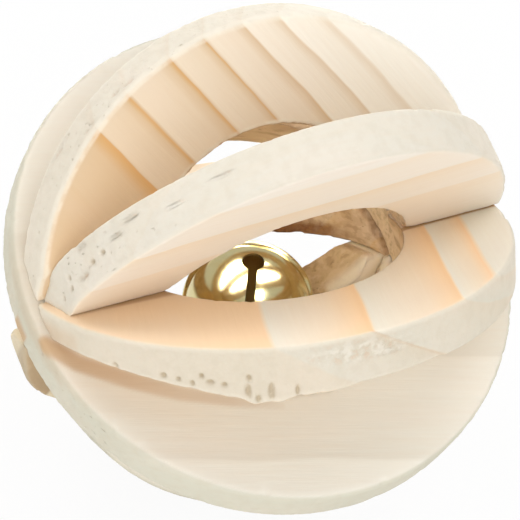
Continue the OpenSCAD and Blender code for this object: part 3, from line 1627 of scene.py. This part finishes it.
@dataclass(frozen=True)
class Viewpoint:
    """Where the camera stands.

    Attributes:
        place: Its place, in millimetres.
        right: The direction that is right in the render.
        up: The direction that is up in the render.
        lens: Its focal length, in millimetres.
        frame_w: The width of its frame, in millimetres.
        shift: Its shift, as shares of the frame.
        reach: The nearest and the farthest that it sees, in metres.
    """

    place: tuple[float, float, float] = (-119.04, -175.34, 192.64)
    right: tuple[float, float, float] = (0.8801, -0.4574, 0.1275)
    up: tuple[float, float, float] = (0.2296, 0.6449, 0.7289)
    lens: float = 171.5
    frame_w: float = 36.0
    shift: tuple[float, float] = (-0.00396, 0.00621)
    reach: tuple[float, float] = (0.01, 10.0)

    def build(self) -> bpy.types.Object:
        """Sets up the camera.

        Returns:
            The camera.
        """
        data = bpy.data.cameras.new("camera")
        data.lens = self.lens
        data.sensor_width = self.frame_w
        data.shift_x, data.shift_y = self.shift
        data.clip_start, data.clip_end = self.reach
        camera = bpy.data.objects.new("camera", data)
        right = Vector(self.right).normalized()
        up = Vector(self.up)
        up = (up - right * up.dot(right)).normalized()
        turn = Matrix((right, up, right.cross(up))).transposed().to_4x4()
        camera.matrix_world = Matrix.Translation(Vector(self.place) * MM) @ turn
        bpy.context.scene.collection.objects.link(camera)
        bpy.context.scene.camera = camera
        return camera


# ---------------------------------------------------------------- this ball


def pit(turn: float, depthwise: float, length: float = 0.45, width: float = 0.4) -> Spot:
    """A small dark pit in the end grain."""
    return Spot(Blemish.PIT, turn, depthwise, length * 0.8, width * 0.8, 0.5)


def tear(turn: float, depthwise: float, length: float, width: float, depth: float = 0.4) -> Spot:
    """A place where the saw tore the fibres out."""
    return Spot(Blemish.TEAR, turn, depthwise, length, width, depth)


def burr(turn: float, length: float, hang: float) -> Spot:
    """A ragged lip that the saw left on the rim's edge, hanging past the board's high face."""
    return Spot(Blemish.BURR, turn, HIGH_FACE, length, 1.4, hang)


FRONT_SPOTS = (
    pit(152.3, 0.6, 0.5, 0.45),
    pit(140.3, 0.7, 0.5, 0.4),
    pit(136.9, 1.0, 0.3, 0.3),
    pit(133.8, 1.3, 0.3, 0.4),
    pit(131.7, 0.4, 0.35, 0.35),
    pit(129.9, 1.1, 0.6, 0.35),
    pit(126.9, 1.3, 0.4, 0.3),
    pit(121.6, 0.6, 0.35, 0.5),
    pit(121.9, 1.8, 0.45, 0.6),
    pit(119.9, 2.3, 0.4, 0.35),
    pit(117.0, 1.9, 0.45, 0.8),
    pit(111.5, 2.1, 0.3, 0.6),
    tear(97.0, -1.0, 5.5, 1.2, 0.12),
    tear(90.5, -0.2, 2.5, 0.5, 0.1),
    burr(152.0, 8.5, 0.55),
    burr(126.5, 4.0, 0.35),
    burr(117.5, 2.6, 0.95),
    burr(106.5, 3.6, 0.5),
)

UPPER_FRONT_SPOTS = (
    Spot(Blemish.WORN, 171.0, 0.5, 3.6, 4.5, 1.0),
    tear(139.9, -1.4, 1.1, 0.25),
    tear(154.3, -2.0, 0.8, 0.35),
    pit(149.5, 0.0),
    tear(157.0, 0.9, 1.0, 0.35),
    pit(161.5, -0.2),
    pit(153.0, 0.2),
    tear(144.8, -0.6, 0.9, 0.25),
    pit(168.5, 0.7),
    pit(162.2, 0.9),
    tear(129.5, -0.2, 1.1, 0.2, 0.14),
    tear(117.9, -0.9, 1.4, 0.18, 0.12),
)

UPPER_BACK_SPOTS = (
    tear(122.7, 1.3, 0.9, 0.3),
    tear(126.2, 0.9, 0.7, 0.3),
    tear(135.8, 1.1, 1.0, 0.35),
    tear(143.3, -1.5, 1.6, 0.3, 0.25),
)

HIDDEN_BOARD = PineFinish(
    fibre_turn=16.0,
    growth=(-0.28, 0.96, 0.8),
    growth_zero=0.0,
    years=rings(-34, -26, -20, -12, -4, 4, 12, 20, 28.5, 38),
    line=0.1,
    pale_edge_share=0.15,
    bore_tint=srgb(190, 150, 102),
    # A pale patch tint, so the hidden boards' patches are painted light
    patch_tint=srgb(246, 232, 208),
)
# A darker, greyer and browner copy of the hidden board's colours, with a dark ring low down:
# painted shade for the lower back half ring, which sits deep in the ball
SHADED_BOARD = replace(
    HIDDEN_BOARD,
    fibre_turn=84.0,
    growth=(0.5, 0.1, -1.0),
    years=rings(-40, Ring(-13.4, 0.3, 0.35), Ring(-7.5, 0.95, 1.0), Ring(-2, 0.3, 0.5))
    + rings(Ring(4, 0.1, 0.3), Ring(16, 0.0, 0.1), Ring(38, 0.0, 0.05)),
    early=srgb(252, 237, 203),
    late=srgb(178, 156, 126),
    rim_tint=srgb(190, 182, 160),
    rim_share=0.45,
)

FULL_RING = PineBoard(
    "full_ring",
    rim=0,
    slide=0.0,
    set_out=0.0,
    finish=PineFinish(
        fibre_turn=16.0,
        growth=(-0.28, 0.96, 0.6),
        growth_zero=1.65,
        years=rings(-40, Ring(-1.5, 0.3, 0.45), Ring(12.5, 0.7, 0.6), Ring(17.5, 0.22, 0.12))
        + rings(Ring(25.2, 0.2, 0.45), Ring(36, 0.0, 0.3)),
        early=srgb(238, 234, 222),
        late=srgb(214, 206, 190),
        rim_tint=srgb(199, 196, 177),
        rim_share=0.72,
        pale_edge_share=0.15,
        line=0.1,
        bore_tint=srgb(216, 180, 130),
        patch_tint=srgb(198, 166, 130),
    ),
    outer_r=30.0,
    hole_r=17.2,
    voxel=0.27,
    tone_patches=(
        # Painted shade on the front face under the front half ring's rim, darkest near the left
        # pole
        TonePatch(
            LOW_FACE,
            (
                (-29.4, 3.7, 1.1, 1.1),
                (-26.8, 6.8, 1.15, 0.95),
                (-21.8, 10.3, 1.15, 0.8),
                (-16.9, 13.3, 0.95, 0.6),
                (-11.5, 15.8, 0.65, 0.5),
                (-6.0, 17.9, 0.4, 0.15),
            ),
        ),
        # The soft outer part of that painted shade
        TonePatch(
            LOW_FACE, ((-30.0, 6.0, 3.0, 0.25), (-24.0, 11.0, 3.4, 0.2), (-12.0, 18.0, 2.0, 0.0))
        ),
        # Darker towards the rim's left end, by the low face
        TonePatch(-1.9, ((-27.0, -12.0, 2.0, 0.0), (-30.0, -4.0, 3.0, 0.26), (-29.6, 6.0, 3.0, 0.3))),
        # Painted shade of the dark gap at the left pole, on the rim
        TonePatch(1.6, ((-30.0, -1.3, 0.3, 1.0), (-30.0, 0.9, 0.4, 1.0))),
        # Painted shade near the hole on the ring's back half, seen through the upper opening
        TonePatch(LOW_FACE, ((8.5, -15.5, 1.4, 1.0), (13.0, -13.0, 1.6, 1.0))),
    ),
)
FRONT_HALF_RING = PineBoard(
    "front_half_ring",
    rim=1,
    slide=-0.1,
    set_out=0.8,
    finish=PineFinish(
        fibre_turn=110.0,
        growth=(0.94, 0.342, -1.65),
        growth_zero=-4.54,
        years=rings(-40, Ring(-31, 0.2), Ring(-2.7, 0.6, 0.82), 7.95, 18.9, 23.4)
        + rings(Ring(31, 0.0, 0.2), Ring(40, 0.0, 0.1)),
        line=0.1,
        early=srgb(235, 229, 214),
        late=srgb(247, 209, 164),
        rim_tint=srgb(213, 206, 190),
        pale_edge_reach=1.3,
        pores=0.08,
    ),
    voxel=0.21,
    bore_reach=1.7,
    spots=FRONT_SPOTS,
    # The split's dark line is painted shade along the step at its slanted end
    splits=(Split(on_low=94.0, on_high=75.5, far=112.0, depth=0.45, line=0.35),),
    tone_patches=(
        # Darker near the rim's left end
        TonePatch(-0.5, ((-28.6, 3.0, 1.5, 0.4), (-27.0, 8.0, 1.5, 0.3))),
        # Painted shade on this face along the upper front half ring's lower edge, near the left
        # pole
        TonePatch(LOW_FACE, ((-26.0, 6.4, 0.4, 0.2), (-21.0, 6.6, 0.8, 0.9), (-15.0, 6.8, 1.2, 1.0))),
        # The same painted shade along that edge at the right end
        TonePatch(LOW_FACE, ((15.0, 6.5, 0.5, 1.2), (28.7, 6.4, 0.4, 1.1))),
    ),
)
UPPER_FRONT_HALF_RING = PineBoard(
    "upper_front_half_ring",
    rim=2,
    slide=0.2,
    set_out=1.4,
    finish=PineFinish(
        fibre_turn=6.0,
        growth=(-0.1, 1.0, 0.9),
        growth_zero=-2.5,
        years=rings(-12, Ring(3, 0.2, 0.4), Ring(15, 0.2, 0.6), Ring(21, 0.2, 0.7))
        + rings(Ring(27, 0.1, 0.4), Ring(40, 0.0, 0.3)),
        early=srgb(238, 232, 222),
        late=srgb(234, 212, 180),
        rim_tint=srgb(219, 213, 199),
        pale_edge_reach=1.3,
        line=0.0,
    ),
    voxel=0.21,
    spots=UPPER_FRONT_SPOTS,
)
UPPER_BACK_HALF_RING = PineBoard(
    "upper_back_half_ring",
    rim=3,
    slide=0.0,
    set_out=1.5,
    finish=PineFinish(
        fibre_turn=-52.4,
        growth=(0.792, 0.610, 0.5),
        growth_zero=-1.375,
        years=rings(-28, Ring(-9.0, 0.84, 0.84), Ring(-3.0, 0.82, 1.0), Ring(2.25, 0.6, 1.0))
        + rings(Ring(8.3, 0.5, 1.0), Ring(12.5, 0.45, 1.0), Ring(16.85, 0.35, 0.9))
        + rings(Ring(20.6, 0.2, 0.7), Ring(24.5, 0.05, 0.5), Ring(32, 0.0, 0.1)),
        knee=(0.7, 0.25),
        early=srgb(253, 247, 234),
        late=srgb(213, 182, 141),
        rim_tint=srgb(226, 220, 206),
        line=0.75,
        pale_edge_reach=2.0,
    ),
    voxel=0.22,
    spots=UPPER_BACK_SPOTS,
)
BACK_HALF_RING = PineBoard(
    "back_half_ring",
    rim=5,
    slide=0.3,
    set_out=1.1,
    # A dark brown patch tint: its patch is painted shade
    finish=replace(HIDDEN_BOARD, fibre_turn=75.0, patch_tint=srgb(122, 70, 28)),
    slip=0.65,
    bore_reach=2.4,
    # Painted shade on the bore near the right pole, inside the ball
    tone_patches=(TonePatch(-1.9, ((15.0, 7.4, 0.9, 0.3), (13.4, 9.4, 1.2, 0.8), (9.0, 15.0, 2.0, 1.0))),),
)
LOWER_BACK_HALF_RING = PineBoard(
    "lower_back_half_ring",
    rim=6,
    slide=-1.0,
    set_out=1.1,
    finish=SHADED_BOARD,
    bore_reach=1.35,
    # A pale patch at the end by the right pole: painted light on its lit mitre face
    tone_patches=(TonePatch(-2.0, ((12.4, 9.4, 1.5, 0.9), (15.5, 3.0, 1.5, 1.0))),),
)
LOWER_FRONT_HALF_RING = PineBoard(
    "lower_front_half_ring",
    rim=7,
    slide=1.2,
    set_out=0.7,
    finish=replace(
        HIDDEN_BOARD,
        early=srgb(224, 220, 206),
        late=srgb(214, 206, 190),
        rim_tint=srgb(199, 196, 177),
        rim_share=0.72,
    ),
    # A pale patch at the end by the right pole: painted light
    tone_patches=(TonePatch(0.7, ((15.8, 6.4, 1.2, 0.9), (17.5, 3.0, 1.2, 0.9))),),
)
BOARDS = (
    FULL_RING,
    FRONT_HALF_RING,
    UPPER_FRONT_HALF_RING,
    UPPER_BACK_HALF_RING,
    BACK_HALF_RING,
    LOWER_BACK_HALF_RING,
    LOWER_FRONT_HALF_RING,
)

STUDIO = Studio(
    lamps=(
        SoftBox("left_lamp", azimuth=-155, elevation=52, distance=0.6, size=0.28, level=0.2),
        SoftBox("right_lamp", azimuth=103, elevation=62, distance=0.6, size=0.3, level=0.2),
        SoftBox("front_lamp", azimuth=-28, elevation=20, distance=0.8, size=0.6, level=0.42),
    ),
    windows=(
        Window(azimuth=-140, elevation=58, spread=32, brightness=22.0),
        Window(azimuth=100, elevation=62, spread=24, brightness=22.0),
        Window(azimuth=0, elevation=61, spread=11, brightness=16.0),
    ),
)


def dress_pellet(pellet: bpy.types.Object) -> bpy.types.Object:
    """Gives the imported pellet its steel.

    Args:
        pellet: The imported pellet, which is shown as it comes.

    Returns:
        The pellet.
    """
    pellet.data.materials.clear()
    pellet.data.materials.append(SteelFinish().build("pellet_steel"))
    return pellet


def main() -> None:
    """Builds the ball, its bell and the studio."""
    logging.basicConfig(level=logging.INFO, format="%(name)s: %(message)s")
    bpy.ops.wm.read_factory_settings(use_empty=True)
    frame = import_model()
    low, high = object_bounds()
    Viewpoint().build()
    STUDIO.build(low, high)
    wear = wear_tree()
    pieces = [board.build(frame["nodes"][board.node], wear) for board in BOARDS]
    pieces += JingleBell().build(BrassFinish().build("bell_brass"))
    pieces.append(dress_pellet(frame["nodes"]["bell_pellet"]))
    for piece in pieces:
        LOG.info("%s: %d faces", piece.name, len(piece.data.polygons))
    bpy.context.scene.view_settings.view_transform = "Standard"


if __name__ == "__main__":
    main()
